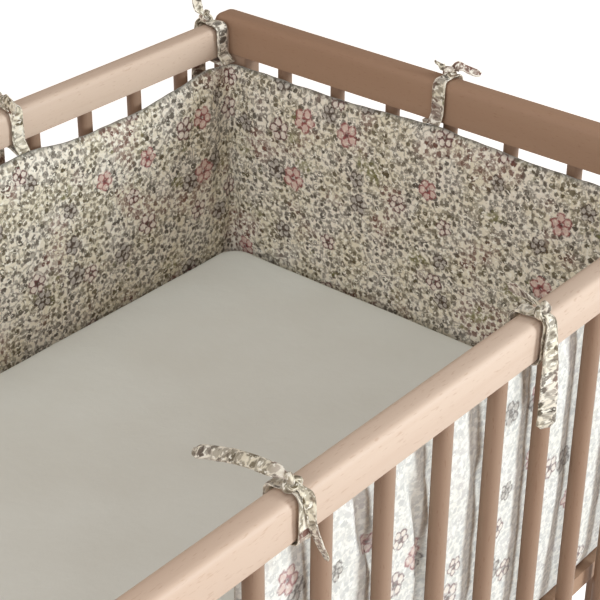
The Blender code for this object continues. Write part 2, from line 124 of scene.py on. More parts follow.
# Creases pressed into the cloth: the face they are on, their two ends (along the strip, + being
# the far side, and below the rail top), their depth and half width.
CreaseRow = namedtuple("CreaseRow", "face along_a drop_a along_b drop_b depth reach")
CREASES = (
    CreaseRow("inner", 0.228, 0.092, 0.231, 0.118, 0.0030, 0.004),
    CreaseRow("inner", 0.262, 0.060, 0.256, 0.250, 0.0022, 0.009),
    CreaseRow("inner", 0.310, 0.060, 0.318, 0.230, 0.0024, 0.009),
    CreaseRow("inner", 0.345, 0.070, 0.385, 0.180, 0.0020, 0.012),
    CreaseRow("inner", 0.467, 0.120, 0.442, 0.250, 0.0016, 0.014),
    CreaseRow("inner", 0.150, 0.070, 0.110, 0.200, 0.0016, 0.014),
    CreaseRow("inner", -0.070, 0.060, -0.130, 0.210, 0.0018, 0.013),
    CreaseRow("inner", -0.200, 0.070, -0.236, 0.240, 0.0018, 0.012),
    CreaseRow("outer", -0.7323, 0.080, -0.7080, 0.235, 0.0040, 0.006),
    CreaseRow("outer", -0.7975, 0.060, -0.7800, 0.150, 0.0036, 0.006),
    CreaseRow("outer", -0.6500, 0.060, -0.6300, 0.170, 0.0022, 0.009),
    CreaseRow("outer", -0.4800, 0.070, -0.4920, 0.300, 0.0014, 0.012),
    CreaseRow("outer", 0.7120, 0.070, 0.7240, 0.300, 0.0020, 0.010),
    CreaseRow("outer", 0.5120, 0.070, 0.5020, 0.300, 0.0020, 0.010),
    CreaseRow("outer", 0.1000, 0.070, 0.0900, 0.280, 0.0020, 0.010),
    CreaseRow("outer", -0.1200, 0.070, -0.1100, 0.280, 0.0020, 0.010),
)
# Where the ties are sewn on, along the strip.
TIE_STATIONS = (0.006, 0.2888, 0.5948, 0.8948, -0.2888, -0.5948, -0.8948)


# ---------------------------------------------------------------- node graphs
class Graph:
    """Builds a material's nodes from short calls. Every call returns an output socket."""

    def __init__(self, tree):
        self.tree = tree

    def node(self, kind, links=(), **settings):
        made = self.tree.nodes.new(kind)
        for name, value in settings.items():
            setattr(made, name, value)
        for key, value in dict(links).items():
            self.feed(made.inputs[key], value)
        return made

    def feed(self, socket, value):
        if isinstance(value, bpy.types.NodeSocket):
            self.tree.links.new(value, socket)
        else:
            socket.default_value = value

    def math(self, operation, *values):
        made = self.node("ShaderNodeMath", operation=operation)
        for socket, value in zip(made.inputs, values):
            self.feed(socket, value)
        return made.outputs[0]

    def vector(self, operation, *values):
        made = self.node("ShaderNodeVectorMath", operation=operation)
        for socket, value in zip(made.inputs, values):
            self.feed(socket, value)
        return made

    def length(self, one, two):
        squares = self.math("ADD", self.math("MULTIPLY", one, one), self.math("MULTIPLY", two, two))
        return self.math("SQRT", squares)

    def step(self, value, low, high):
        """0 below low, 1 above high, smooth between; low may be the larger one."""
        made = self.node(
            "ShaderNodeMapRange",
            {"Value": value, "From Min": low, "From Max": high, "To Min": 0.0, "To Max": 1.0},
            interpolation_type="SMOOTHSTEP",
        )
        return made.outputs["Result"]

    def mix(self, share, low, high, blend="MIX"):
        made = self.node("ShaderNodeMix", data_type="RGBA", blend_type=blend)
        for name, value in (("Factor", share), ("A", low), ("B", high)):
            socket = [s for s in made.inputs if s.name == name and s.enabled][0]
            self.feed(socket, value)
        return [s for s in made.outputs if s.enabled][0]

    def noise(self, at, scale, detail=2.0, rough=0.5, colour=False):
        made = self.node(
            "ShaderNodeTexNoise",
            {"Vector": at, "Scale": scale, "Detail": detail, "Roughness": rough},
        )
        return made.outputs["Color" if colour else "Fac"]


def colour(red, green, blue):
    """An sRGB colour, 0 to 255, as the linear RGBA that shaders take."""
    def linear(c):
        c = c / 255
        return c / 12.92 if c <= 0.04045 else ((c + 0.055) / 1.055) ** 2.4
    return (linear(red), linear(green), linear(blue), 1.0)


def new_material(name):
    """A new material, a graph to build its nodes with, and its shader."""
    material = bpy.data.materials.new(name)
    material.use_nodes = True
    tree = material.node_tree
    shader = tree.nodes["Principled BSDF"]
    return material, Graph(tree), shader


# ---------------------------------------------------------------- printed cotton
CREAM = colour(240, 235, 222)
SPECK_OLIVE = colour(92, 80, 54)
SPECK_GREY = colour(88, 80, 70)
SPECK_ROSE = colour(112, 74, 62)
LEAF = colour(128, 124, 76)
MAROON = colour(98, 52, 52)
DARK_BROWN = colour(74, 58, 48)
PETAL = colour(226, 214, 202)
BRICK = colour(146, 72, 72)
BLUSH = colour(214, 186, 174)
LILAC = colour(176, 168, 160)
OUTER_GROUND = colour(238, 240, 237)

# One kind of flower: spacing of its places, its radius, how many places have one, the colours of
# its petals, their surround and its heart, how big the petals are, and its layout's offset.
FlowerRow = namedtuple("FlowerRow", "spacing radius share petal surround heart size shift")
FLOWERS = (
    FlowerRow(0.056, 0.0110, 0.45, LILAC, DARK_BROWN, DARK_BROWN, 0.26, (7.31, 2.17)),
    FlowerRow(0.082, 0.0125, 0.50, BLUSH, BRICK, MAROON, 0.29, (3.77, 8.53)),
    FlowerRow(0.078, 0.0120, 0.55, PETAL, MAROON, DARK_BROWN, 0.28, (1.13, 4.61)),
)


def flower_layer(g, place, row, under, wear):
    """Five-petalled flowers scattered over the cloth, laid over the colour under."""
    moved = g.vector("ADD", place, (*row.shift, 0.0)).outputs[0]
    cells = g.vector("SCALE", moved)
    cells.inputs["Scale"].default_value = 1 / row.spacing
    grid = g.node(
        "ShaderNodeTexVoronoi",
        {"Vector": cells.outputs[0], "Scale": 1.0, "Randomness": 0.75},
        voronoi_dimensions="2D",
    )
    offset = g.vector("SUBTRACT", cells.outputs[0], grid.outputs["Position"]).outputs[0]
    split = g.node("ShaderNodeSeparateXYZ", {"Vector": offset})
    chance = g.node("ShaderNodeSeparateColor", {"Color": grid.outputs["Color"]})
    across, up = split.outputs["X"], split.outputs["Y"]
    size = g.math("MULTIPLY_ADD", chance.outputs["Green"], 0.40, 0.80)
    away = g.math("MULTIPLY", g.length(across, up), row.spacing / row.radius)
    away = g.math("DIVIDE", away, size)
    turn = g.math("MULTIPLY", chance.outputs["Blue"], 2 * math.pi)
    angle = g.math("ADD", g.math("ARCTAN2", up, across), turn)
    fifth = 2 * math.pi / 5
    folded = g.math("SUBTRACT", g.math("FLOORED_MODULO", angle, fifth), fifth / 2)
    petal_out = g.math("SUBTRACT", g.math("MULTIPLY", away, g.math("COSINE", folded)), 0.60)
    petal_side = g.math("MULTIPLY", away, g.math("SINE", folded))
    petal_away = g.length(petal_out, petal_side)
    there = g.math("LESS_THAN", chance.outputs["Red"], row.share)
    whole = g.math("MAXIMUM", g.step(petal_away, 0.52, 0.34), g.step(away, 0.50, 0.36))
    petals = g.step(petal_away, row.size + 0.06, row.size - 0.06)
    heart = g.step(away, 0.24, 0.10)
    shown = g.mix(petals, row.surround, row.petal)
    shown = g.mix(heart, shown, row.heart)
    over = g.math("MULTIPLY", g.math("MULTIPLY", whole, there), wear)
    return g.mix(over, under, shown)


def floral(g, place, flowered, outer):
    """The print: close leafy specks in olive, grey and rose on cream, with scattered flowers."""
    wander = g.noise(place, 190.0, 3.0, 0.6, colour=True)
    wander = g.vector("SUBTRACT", wander, (0.5, 0.5, 0.5)).outputs[0]
    bend = g.vector("SCALE", wander)
    bend.inputs["Scale"].default_value = 0.0052
    drawn = g.vector("ADD", place, bend.outputs[0]).outputs[0]

    drift = g.noise(place, 24.0, 2.0, 0.5)
    speck = g.mix(g.step(drift, 0.42, 0.56), SPECK_OLIVE, SPECK_GREY)
    blush = g.noise(g.vector("ADD", place, (9.1, 3.3, 0.0)).outputs[0], 17.0, 1.0, 0.5)
    speck = g.mix(g.step(blush, 0.54, 0.66), speck, SPECK_ROSE)
    ground = g.mix(g.step(drift, 0.30, 0.72), colour(226, 217, 194), colour(236, 228, 214))

    dots = g.node(
        "ShaderNodeTexVoronoi", {"Vector": drawn, "Scale": 1 / 0.0072, "Randomness": 0.95},
        voronoi_dimensions="2D",
    )
    chance = g.node("ShaderNodeSeparateColor", {"Color": dots.outputs["Color"]})
    reach = g.math("MULTIPLY_ADD", chance.outputs["Red"], 0.24, 0.30)
    leaf = g.step(g.math("SUBTRACT", dots.outputs["Distance"], reach), 0.10, -0.10)
    depth = g.math("MULTIPLY_ADD", chance.outputs["Green"], 0.55, 0.45)
    shown = g.mix(g.math("MULTIPLY", leaf, depth), ground, speck)

    stems = g.node(
        "ShaderNodeTexVoronoi", {"Vector": drawn, "Scale": 1 / 0.013, "Randomness": 1.0},
        voronoi_dimensions="2D", feature="DISTANCE_TO_EDGE",
    )
    stem = g.step(stems.outputs["Distance"], 0.11, 0.04)
    shown = g.mix(g.math("MULTIPLY", stem, 0.45), shown, speck)
    fine = g.noise(place, 230.0, 2.0, 0.6)
    shown = g.mix(g.step(fine, 0.54, 0.64), shown, CREAM)
    shown = g.mix(g.math("MULTIPLY", g.step(fine, 0.44, 0.32), 0.62), shown, DARK_BROWN)

    clumps = g.noise(g.vector("ADD", place, (4.2, 6.6, 0.0)).outputs[0], 20.0, 3.0, 0.6)
    broken = g.math("MULTIPLY", g.step(clumps, 0.60, 0.68), g.step(fine, 0.62, 0.42))
    shown = g.mix(g.math("MULTIPLY", broken, 0.75), shown, LEAF)
    shown = g.mix(g.math("MULTIPLY", outer, 0.58), shown, OUTER_GROUND)
    if flowered:
        wear = g.math("MULTIPLY_ADD", g.step(fine, 0.64, 0.46), 0.50, 0.45)
        for row in FLOWERS:
            shown = flower_layer(g, drawn, row, shown, wear)
    return shown


def cloth_normal(g, place, thread, strength):
    """Woven threads and soft crumple, as bump."""
    split = g.node("ShaderNodeSeparateXYZ", {"Vector": place})
    warp = g.math("SINE", g.math("MULTIPLY", split.outputs["X"], 2 * math.pi / thread))
    weft = g.math("SINE", g.math("MULTIPLY", split.outputs["Y"], 2 * math.pi / thread))
    slub = g.noise(place, 900.0, 2.0, 0.6)
    crumple = g.noise(place, 85.0, 3.0, 0.55)
    height = g.math("MULTIPLY_ADD", g.math("MULTIPLY", warp, weft), 0.10, g.math("MULTIPLY", slub, 0.35))
    height = g.math("MULTIPLY_ADD", crumple, 2.4, height)
    bump = g.node("ShaderNodeBump", {"Height": height, "Strength": strength, "Distance": 0.0006})
    return bump.outputs["Normal"]


def print_material(name, flowered):
    """Printed cotton, paler on the bumper's outer face, with painted shade darkening it along its top seam.
    """
    material, g, shader = new_material(name)
    at = g.node("ShaderNodeUVMap", uv_map="cloth_m").outputs["UV"]
    outer = g.node("ShaderNodeAttribute", attribute_name="outer").outputs["Fac"]
    shown = floral(g, at, flowered, outer)
    shown = g.mix(g.math("MULTIPLY", outer, 0.16), shown, OUTER_GROUND)
    # painted shade: a narrow grey-green darkening along the top seam, where the seam folds in
    edge = g.node("ShaderNodeAttribute", attribute_name="seam").outputs["Fac"]
    shown = g.mix(g.math("MULTIPLY", edge, 0.60), shown, colour(88, 90, 84))
    g.feed(shader.inputs["Base Color"], shown)
    g.feed(shader.inputs["Roughness"], g.math("MULTIPLY_ADD", g.noise(at, 300.0), 0.12, 0.80))
    shader.inputs["Sheen Weight"].default_value = 0.12
    shader.inputs["Sheen Roughness"].default_value = 0.5
    shader.inputs["Specular IOR Level"].default_value = 0.25
    g.feed(shader.inputs["Normal"], cloth_normal(g, at, 0.0006, 0.55))
    return material


def sheet_material():
    """Plain off-white cotton with faint threads."""
    material, g, shader = new_material("off_white_cotton")
    at = g.node("ShaderNodeUVMap", uv_map="cloth_m").outputs["UV"]
    patchy = g.noise(at, 7.0, 3.0, 0.5)
    shown = g.mix(g.step(patchy, 0.3, 0.7), colour(222, 222, 214), colour(227, 228, 221))
    threads = g.noise(g.vector("MULTIPLY", at, (500.0, 2600.0, 1.0)).outputs[0], 1.0, 2.0, 0.6)
    shown = g.mix(g.math("MULTIPLY", threads, 0.10), shown, colour(190, 186, 172))
    g.feed(shader.inputs["Base Color"], shown)
    g.feed(shader.inputs["Roughness"], g.math("MULTIPLY_ADD", patchy, 0.1, 0.84))
    shader.inputs["Sheen Weight"].default_value = 0.10
    shader.inputs["Sheen Roughness"].default_value = 0.5
    shader.inputs["Specular IOR Level"].default_value = 0.2
    g.feed(shader.inputs["Normal"], cloth_normal(g, at, 0.0009, 0.4))
    return material


# ---------------------------------------------------------------- beech
def beech_material(name, grain, painted_shade_tone=(1.0, 1.0, 1.0)):
    """Oiled beech with fine pores and short flecks, its grain along one axis (0, 1 or 2), its colours
    multiplied by a tint that gives the darker copies painted shade.
    """
    material, g, shader = new_material(name)
    at = g.node("ShaderNodeTexCoord").outputs["Object"]
    across_scale, along_scale = 95.0, 3.0
    stretch = [across_scale] * 3
    stretch[grain] = along_scale
    streaks = g.noise(g.vector("MULTIPLY", at, tuple(stretch)).outputs[0], 1.0, 4.0, 0.6)
    broad = [14.0] * 3
    broad[grain] = 1.2
    bands = g.noise(g.vector("MULTIPLY", at, tuple(broad)).outputs[0], 1.0, 2.0, 0.5)
    fleck_scale = [620.0] * 3
    fleck_scale[grain] = 120.0
    flecks = g.noise(g.vector("MULTIPLY", at, tuple(fleck_scale)).outputs[0], 1.0, 1.0, 0.5)
    pale = [c * t for c, t in zip(colour(208, 187, 169), painted_shade_tone)] + [1.0]
    deep = [c * t for c, t in zip(colour(198, 173, 153), painted_shade_tone)] + [1.0]
    fleck = [c * t for c, t in zip(colour(176, 143, 119), painted_shade_tone)] + [1.0]
    shown = g.mix(g.step(bands, 0.30, 0.72), pale, deep)
    shown = g.mix(g.math("MULTIPLY", g.step(streaks, 0.45, 0.75), 0.45), shown, deep)
    shown = g.mix(g.math("MULTIPLY", g.step(flecks, 0.62, 0.74), 0.40), shown, fleck)
    g.feed(shader.inputs["Base Color"], shown)
    g.feed(shader.inputs["Roughness"], g.math("MULTIPLY_ADD", streaks, 0.14, 0.48))
    shader.inputs["Specular IOR Level"].default_value = 0.30
    shader.inputs["Coat Weight"].default_value = 0.04
    shader.inputs["Coat Roughness"].default_value = 0.40
    height = g.math("MULTIPLY_ADD", flecks, 0.5, streaks)
    bump = g.node("ShaderNodeBump", {"Height": height, "Strength": 0.25, "Distance": 0.0003})
    g.feed(shader.inputs["Normal"], bump.outputs["Normal"])
    return material


# ---------------------------------------------------------------- shape tools
def through(rows, column):
    """A smooth curve through one column of a table, as a function of arrays."""
    at = np.array([row[0] for row in rows])
    value = np.array([getattr(row, column) for row in rows])
    slope = np.gradient(value, at)
    secant = np.diff(value) / np.diff(at)
    for i in range(1, len(at) - 1):
        if secant[i - 1] * secant[i] <= 0:
            slope[i] = 0.0
        else:
            slope[i] = 2 * secant[i - 1] * secant[i] / (secant[i - 1] + secant[i])

    def curve(x):
        x = np.clip(x, at[0], at[-1])
        i = np.clip(np.searchsorted(at, x) - 1, 0, len(at) - 2)
        span = at[i + 1] - at[i]
        t = (x - at[i]) / span
        return (
            (1 + 2 * t) * (1 - t) ** 2 * value[i] + t * (1 - t) ** 2 * span * slope[i]
            + t * t * (3 - 2 * t) * value[i + 1] + t * t * (t - 1) * span * slope[i + 1]
        )
    return curve


def ripple(x, y, size, seed, waves=14):
    """A smooth uneven surface from -1 to 1 about size across, made of seeded waves."""
    draw = random.Random(seed)
    total = np.zeros(np.broadcast(x, y).shape)
    for _ in range(waves):
        heading = draw.uniform(0, 2 * math.pi)
        pace = 2 * math.pi / (size * draw.uniform(0.7, 1.9))
        phase = draw.uniform(0, 2 * math.pi)
        total += np.sin(pace * (x * math.cos(heading) + y * math.sin(heading)) + phase)
    return total / math.sqrt(waves * 2)


def grid_object(name, points, uvs, material, caps=True, marks=None):
    """A tube over a grid of points (rows, columns), the columns joined round, its ends capped.

    The UVs have one column more than the points, for the seam where the columns meet.
    """
    rows, columns = points.shape[:2]
    vertices = points.reshape(-1, 3)
    faces, corner_uvs = [], []
    for i in range(rows - 1):
        for j in range(columns):
            k = (j + 1) % columns
            faces.append((i * columns + j, (i + 1) * columns + j, (i + 1) * columns + k, i * columns + k))
            corner_uvs += [uvs[i, j], uvs[i + 1, j], uvs[i + 1, j + 1], uvs[i, j + 1]]
    if caps:
        for i in (0, rows - 1):
            half = columns // 2
            for j in range(half - 1):
                faces.append(tuple(i * columns + c for c in (j, j + 1, columns - 2 - j, columns - 1 - j)))
                corner_uvs += [uvs[i, c] for c in (j, j + 1, columns - 2 - j, columns - 1 - j)]
    mesh = bpy.data.meshes.new(name)
    mesh.from_pydata(vertices.tolist(), [], faces)
    layer = mesh.uv_layers.new(name="cloth_m")
    layer.uv.foreach_set("vector", np.array(corner_uvs, np.float32).ravel())
    mesh.materials.append(material)
    for mark_name, values in (marks or {}).items():
        mark = mesh.attributes.new(mark_name, "FLOAT", "POINT")
        mark.data.foreach_set("value", values.astype(np.float32).ravel())
    outward(mesh)
    mesh.shade_smooth()
    item = bpy.data.objects.new(name, mesh)
    bpy.context.scene.collection.objects.link(item)
    return item


def outward(mesh):
    """Turns the faces of a closed mesh outwards, keeping each corner's UV."""
    bm = bmesh.new()
    bm.from_mesh(mesh)
    bmesh.ops.recalc_face_normals(bm, faces=bm.faces)
    bm.to_mesh(mesh)
    bm.free()


# ---------------------------------------------------------------- the bumper
def strip_frame(along):
    """Places and outward directions of the strip's middle, for an array of distances."""
    side = np.where(along >= 0, 1.0, -1.0)
    run = np.abs(along)
    head_line = HEAD_FACE - BUMPER_INSET
    angle = np.clip((run - HEAD_STRAIGHT) / BUMPER_TURN, 0, math.pi / 2)
    leg = np.maximum(run - HEAD_STRAIGHT - TURN_ARC, 0)
    x = head_line - BUMPER_TURN + BUMPER_TURN * np.cos(angle) - leg
    y = side * (np.minimum(run, HEAD_STRAIGHT) + BUMPER_TURN * np.sin(angle))
    out = np.stack([np.cos(angle), side * np.sin(angle)], -1)
    return np.stack([x, y], -1), out


def crease_depth(face, along, drop):
    """How far the creases on one face press in, with a low ridge to each side."""
    total = np.zeros(along.shape)
    for row in CREASES:
        if row.face != face:
            continue
        start = np.array([row.along_a, row.drop_a])
        run = np.array([row.along_b, row.drop_b]) - start
        length = np.hypot(*run)
        u = ((along - start[0]) * run[0] + (drop - start[1]) * run[1]) / length ** 2
        bend = 0.004 * np.sin(5 * u + row.along_a * 40)
        away = ((along - start[0]) * run[1] - (drop - start[1]) * run[0]) / length + bend
        fade = np.clip((u + 0.12) / 0.25, 0, 1) * np.clip((1.12 - u) / 0.25, 0, 1)
        fade = fade * fade * (3 - 2 * fade)
        near = np.exp(-(away / row.reach) ** 2)
        ridge = np.exp(-((np.abs(away) - 1.9 * row.reach) / row.reach) ** 2)
        total += row.depth * fade * (near - 0.45 * ridge)
    return total


def tie_pull(face, along, drop, top_drop):
    """Short pleats that fan down from each tie's stitching."""
    total = np.zeros(along.shape)
    draw = random.Random(31 if face == "inner" else 57)
    for station in TIE_STATIONS:
        for i in range(5):
            lean = (i - 2) * 0.42 + draw.uniform(-0.12, 0.12)
            reach = draw.uniform(0.045, 0.085)
            depth = draw.uniform(0.0012, 0.0022)
            down = drop - top_drop
            line = along - station - lean * down
            width = 0.0030 + 0.06 * down
            fade = np.exp(-down / reach * 2.2) * np.clip(down / 0.004, 0, 1)
            total += depth * fade * np.exp(-(line / width) ** 2)
    return total


def bumper_offset(face, along, height, top_drop, drop, x):
    """Distance of the cloth from the strip's middle, on one face."""
    base = through(CROWN, face)(height)
    corner = np.exp(-((np.abs(along) - CORNER_ALONG) / CORNER_REACH) ** 2)
    base = base * (1 - CORNER_PINCH * corner)
    seed = 3 if face == "inner" else 8
    free = np.clip(base / 0.006, 0, 1)
    offset = base + 0.0010 * free * ripple(along, drop, 0.085, seed)
    offset += 0.0004 * free * ripple(along * 1.3, drop, 0.028, seed + 1)
    from_top = drop - top_drop
    from_bottom = (RAIL_TOP - BUMPER_BOTTOM) - drop
    pucker = ripple(along, 0.25 * drop, 0.015, seed + 2, 10)
    offset += 0.0009 * pucker * (np.exp(-(from_top / 0.014)) + np.exp(-(from_bottom / 0.014))) * free
    offset -= crease_depth(face, along, drop) * free
    offset -= tie_pull(face, along, drop, top_drop) * free
    if face == "outer":
        on_leg = np.clip((np.abs(along) - HEAD_STRAIGHT - TURN_ARC) / 0.02, 0, 1)
        nearest = np.min([np.abs(x - place) for place in BAR_PLACES], axis=0)
        pressed = np.exp(-(nearest / 0.010) ** 2)
        offset += on_leg * free * (0.0010 * (1 - pressed) - 0.0004 * pressed)
    from_end = np.clip((STRIP_HALF - np.abs(along)) / 0.020, 0, 1)
    offset *= 0.10 + 0.90 * np.sqrt(from_end)
    return np.clip(offset, 0.0007, BUMPER_INSET + BAR_SETBACK - TIE_CLEAR)


def make_bumper(material):
    """The padded strip: an outer and an inner face of printed cloth, meeting in its two seams."""
    steps_along, steps_up = 480, 58
    seam_crowding = 0.35           # how far the rows of the grid gather towards the two seams
    along = np.linspace(-STRIP_HALF, STRIP_HALF, steps_along)
    crowded = (1 - np.cos(np.linspace(0, math.pi, steps_up))) / 2
    height = crowded * seam_crowding + np.linspace(0, 1, steps_up) * (1 - seam_crowding)
    seam = through(TOP_SEAM, "drop")(np.abs(along))
    seam = seam + 0.0006 * ripple(along, 0 * along, 0.035, 5, 8)
    foot = RAIL_TOP - BUMPER_BOTTOM
    a, h = np.meshgrid(along, height, indexing="ij")
    top = np.broadcast_to(seam[:, None], a.shape)
    drop = foot + (top - foot) * h
    middle, out = strip_frame(a)
    points, uvs, seams, outers = [], [], [], []
    run_up = foot - drop
    for face, sign in (("outer", 1), ("inner", -1)):
        offset = bumper_offset(face, a, h, top, drop, middle[..., 0])
        place = middle + sign * offset[..., None] * out
        layer = np.concatenate([place, (RAIL_TOP - drop)[..., None]], -1)
        shift = 0.0 if face == "inner" else 2.37
        uv = np.stack([a + shift, run_up], -1)
        # the band of painted shade along the top seam: strongest at the seam, fading within a few millimetres
        # below it
        mark = np.exp(-((drop - top) / 0.0026) ** 2)
        side = np.full(a.shape, 1.0 if face == "outer" else 0.0)
        if face == "inner":
            layer, uv, mark = layer[:, ::-1], uv[:, ::-1], mark[:, ::-1]
        points.append(layer)
        uvs.append(uv)
        seams.append(mark)
        outers.append(side)
    uv_all = np.concatenate(uvs + [uvs[0][:, :1]], 1)
    # seam carries the painted shade along the top seam; outer marks the outer face
    marks = {"seam": np.concatenate(seams, 1), "outer": np.concatenate(outers, 1)}
    item = grid_object("bumper_cloth", np.concatenate(points, 1), uv_all, material, marks=marks)
    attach(item, "root")
    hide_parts("bumper")
    return item


# ---------------------------------------------------------------- the ties
# A free end's route from its knot: along the rail, out from its middle and up from its top, with
# the tape's twist in degrees and its width.
TapeRow = namedtuple("TapeRow", "along out up twist width")
HANGING_OUT = (
    TapeRow(0.000, 0.008, 0.008, 0, 0.013),
    TapeRow(0.000, 0.018, 0.000, 0, 0.014),
    TapeRow(0.001, 0.021, -0.030, 14, 0.017),
    TapeRow(0.000, 0.022, -0.068, 24, 0.018),
    TapeRow(-0.002, 0.021, -0.100, 30, 0.018),
)
CROSSING_IN = (
    TapeRow(0.000, 0.010, 0.010, 0, 0.010),
    TapeRow(-0.004, -0.004, 0.012, 50, 0.011),
    TapeRow(-0.009, -0.018, 0.012, 75, 0.011),
    TapeRow(-0.013, -0.031, 0.009, 80, 0.011),
)
REACHING_IN = (
    TapeRow(0.000, 0.004, 0.010, 0, 0.012),
    TapeRow(0.002, -0.012, 0.012, -20, 0.012),
    TapeRow(0.001, -0.036, 0.008, -35, 0.011),
    TapeRow(-0.002, -0.060, 0.000, -30, 0.012),
    TapeRow(0.002, -0.086, -0.007, -35, 0.011),
)
SHORT_OUT = (
    TapeRow(0.000, 0.006, 0.008, 0, 0.012),
    TapeRow(0.000, 0.018, 0.001, 20, 0.010),
    TapeRow(-0.002, 0.020, -0.020, 60, 0.007),
    TapeRow(-0.010, 0.021, -0.043, 80, 0.006),
    TapeRow(-0.019, 0.020, -0.062, 85, 0.006),
)
STANDING_UP = (
    TapeRow(0.000, 0.008, 0.008, 0, 0.011),
    TapeRow(-0.006, 0.014, 0.018, -20, 0.011),
    TapeRow(-0.008, 0.015, 0.034, -35, 0.011),
    TapeRow(-0.005, 0.017, 0.052, -35, 0.010),
)
TOP_LEFT = (
    TapeRow(0.000, 0.000, 0.008, 0, 0.012),
    TapeRow(-0.008, -0.002, 0.013, 25, 0.012),
    TapeRow(-0.017, 0.002, 0.014, 40, 0.011),
)
TOP_RIGHT = (
    TapeRow(0.000, 0.000, 0.008, 0, 0.012),
    TapeRow(0.009, 0.004, 0.015, 30, 0.012),
    TapeRow(0.019, 0.009, 0.012, 60, 0.010),
    TapeRow(0.030, 0.014, 0.008, 70, 0.009),
)
KNOT_UP = 0.0075
KNOT_SIZE = 0.0062
PATH_STEP = 0.0022
# One tie: its rail, its place (from the head end, or across it on the head rail), how far out its
# knot sits from the rail's middle, its width and its two free ends.
TieRow = namedtuple("TieRow", "name rail place knot_out width tails")
TIES = (
    TieRow("tie_far_end", "far", 0.620, 0.004, 0.016, (REACHING_IN, SHORT_OUT)),
    TieRow("tie_far_middle", "far", 0.320, 0.010, 0.016, (HANGING_OUT, CROSSING_IN)),
    TieRow("tie_far_corner", "far", 0.0145, 0.008, 0.019, (STANDING_UP, HANGING_OUT)),
    TieRow("tie_head", "head", 0.006, 0.000, 0.016, (TOP_LEFT, TOP_RIGHT)),
    TieRow("tie_near_corner", "near", 0.0145, 0.008, 0.019, (STANDING_UP, HANGING_OUT)),
    TieRow("tie_near_middle", "near", 0.320, 0.010, 0.016, (HANGING_OUT, CROSSING_IN)),
    TieRow("tie_near_end", "near", 0.620, 0.004, 0.016, (REACHING_IN, SHORT_OUT)),
)
HEAD_TIE_SHIFT = 0.014         # the head tie comes back beside the bar that stands under it


def smooth_path(points, steps):
    """A Catmull-Rom run through points, given as equal-length tuples."""
    path = []
    for i in range(len(points) - 1):
        rows = [points[max(i - 1, 0)], points[i], points[i + 1], points[min(i + 2, len(points) - 1)]]
        for step in range(steps):
            t = step / steps
            path.append([
                0.5 * (2 * b + (c - a) * t + (2 * a - 5 * b + 4 * c - d) * t * t
                       + (3 * b - a - 3 * c + d) * t * t * t)
                for a, b, c, d in zip(*rows)
            ])
    path.append(list(points[-1]))
    return np.array(path)


def loop_path(thick, tall, seam_out, seam_up, shift):
    """The tape's round over the rail, from the bumper's seam up, over, down and back under."""
    reach = TIE_CLEAR + TIE_CLOTH / 2
    out, up, down = thick / 2 + reach, reach, -tall - reach
    round_off = TAPE_BEND
    rows = [(0.0, seam_out - STITCH_LAP, seam_up), (0.0, -out - STITCH_LAP, seam_up + STRAP_BEND_UP)]
    for side_out, side_up, start, corner_out, corner_up in (
        (-1, 1, 180, -out, up), (1, 1, 90, out, up), (1, -1, 0, out, down)
    ):
        for step in range(9):
            angle = math.radians(start - step * 11.25)
            rows.append((
                shift if side_up < 0 else 0.0,
                corner_out - side_out * round_off + round_off * math.cos(angle),
                corner_up - side_up * round_off + round_off * math.sin(angle),
            ))
    rows.append((shift, -out + TAPE_BEND, down))
    rows.append((0.4 * shift, seam_out + 0.002, seam_up))
    return np.array(rows)


def even_path(path, spacing):
    """The same run with its points about spacing apart."""
    steps = np.linalg.norm(np.diff(path[:, :3], axis=0), axis=1)
    at = np.concatenate([[0], np.cumsum(steps)])
    count = max(4, int(at[-1] / spacing))
    where = np.linspace(0, at[-1], count)
    return np.stack([np.interp(where, at, path[:, c]) for c in range(path.shape[1])], 1), where


def tape(path, width, twist, seed, hint=(1.0, 0.0, 0.0), puff=0.0011):
    """A soft tape swept along a path: returns its grid of points and UVs in metres."""
    run = np.gradient(path, axis=0)
    run /= np.linalg.norm(run, axis=1)[:, None]
    hint = np.array(hint)
    across = hint - (run @ hint)[:, None] * run
    short = np.linalg.norm(across, axis=1) < 0.35
    other = np.array([0.0, 1.0, 0.0])
    across[short] = (other - (run @ other)[:, None] * run)[short]
    across /= np.linalg.norm(across, axis=1)[:, None]
    normal = np.cross(run, across)
    turn = np.radians(twist)[:, None]
    turned = across * np.cos(turn) + normal * np.sin(turn)
    normal = normal * np.cos(turn) - across * np.sin(turn)
    across = turned
    ring = 18
    angle = np.linspace(0, 2 * math.pi, ring, endpoint=False)
    wide = np.sign(np.cos(angle)) * np.abs(np.cos(angle)) ** 0.6 / 2
    thick = np.sign(np.sin(angle)) * np.abs(np.sin(angle)) ** 0.7
    at = np.concatenate([[0], np.cumsum(np.linalg.norm(np.diff(path, axis=0), axis=1))])
    s = np.broadcast_to(at[:, None], (len(path), ring))
    w = wide[None, :] * np.asarray(width)[:, None]
    crumple = 0.0003 * ripple(s, w, 0.013, seed, 10) + 0.0004 * ripple(s, 0 * w, 0.02, seed + 1, 6)
    fold = 0.0004 * np.cos(w / np.maximum(np.asarray(width)[:, None], 1e-6) * 2 * math.pi)
    height = thick[None, :] * puff + crumple + fold
    points = path[:, None, :] + across[:, None, :] * w[..., None] + normal[:, None, :] * height[..., None]
    round_it = np.linspace(0, 1, ring + 1) * 0.036
    uvs = np.stack(np.broadcast_arrays(at[:, None] + seed * 0.37, round_it[None, :] + seed * 0.11), -1)
    return points, uvs


